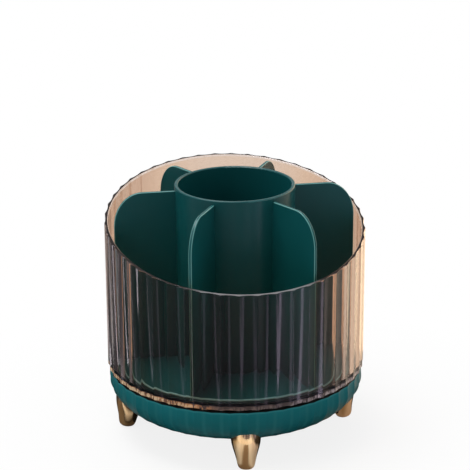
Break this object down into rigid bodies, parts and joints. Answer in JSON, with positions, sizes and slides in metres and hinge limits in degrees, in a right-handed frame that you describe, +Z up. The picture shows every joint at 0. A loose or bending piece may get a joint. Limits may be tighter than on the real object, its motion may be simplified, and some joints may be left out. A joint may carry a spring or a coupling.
{
  "type": "rotating makeup brush holder",
  "caption": "Rotating holder: a clear fluted case with a slanted rim and a lift-out divider with a brush cup turns on a green fluted base with splayed gold feet.",
  "frame": {"origin": "on the table under the axis of rotation", "axes": "+Z up along the axis of rotation; the low side of the slanted case faces -Y at rest; the base and its feet stand turned by -4.3 degrees from it"},
  "size_m": [0.1396, 0.14, 0.138],
  "materials": {
    "green_plastic": "smooth satin-gloss moulded plastic, deep teal green",
    "clear_plastic": "clear polished moulded plastic with a faint grey tint",
    "gold_plating": "champagne-gold electroplated plastic, mirror gloss",
    "bright_steel": "bright steel",
    "white_bearing_plastic": "white low-friction plastic"
  },
  "bodies": {
    "base": {"base_bowl": "green_plastic", "foot_right": "gold_plating", "foot_rear": "gold_plating", "foot_left": "gold_plating", "foot_front": "gold_plating", "foot_screw_right": "bright_steel", "foot_screw_rear": "bright_steel", "foot_screw_left": "bright_steel", "foot_screw_front": "bright_steel", "lower_race": "bright_steel", "centre_bush": "white_bearing_plastic", "centre_washer": "bright_steel", "centre_screw": "bright_steel"},
    "ball_ring": {"ball_cage": "white_bearing_plastic", "bearing_balls": "bright_steel"},
    "carousel": {"turntable": "green_plastic", "upper_race": "bright_steel", "clear_case": "clear_plastic", "case_screw_1": "bright_steel", "case_screw_2": "bright_steel", "case_screw_3": "bright_steel", "case_screw_4": "bright_steel"},
    "divider": {"divider": "green_plastic"}
  },
  "joints": [
    {"name": "carousel_spin", "type": "hinge", "parent": "base", "child": "carousel", "pos_m": [0, 0, 0.0358], "axis": [0, 0, 1], "continuous": true},
    {"name": "ball_ring_spin", "type": "hinge", "parent": "base", "child": "ball_ring", "pos_m": [0, 0, 0.0265], "axis": [0, 0, 1], "continuous": true},
    {"name": "divider_lift", "type": "slide", "parent": "carousel", "child": "divider", "axis": [0, 0, 1], "range_m": [0, 0.1]}
  ],
  "couplings": [
    {"joint": "ball_ring_spin", "follows": "carousel_spin", "ratio": 0.5}
  ]
}
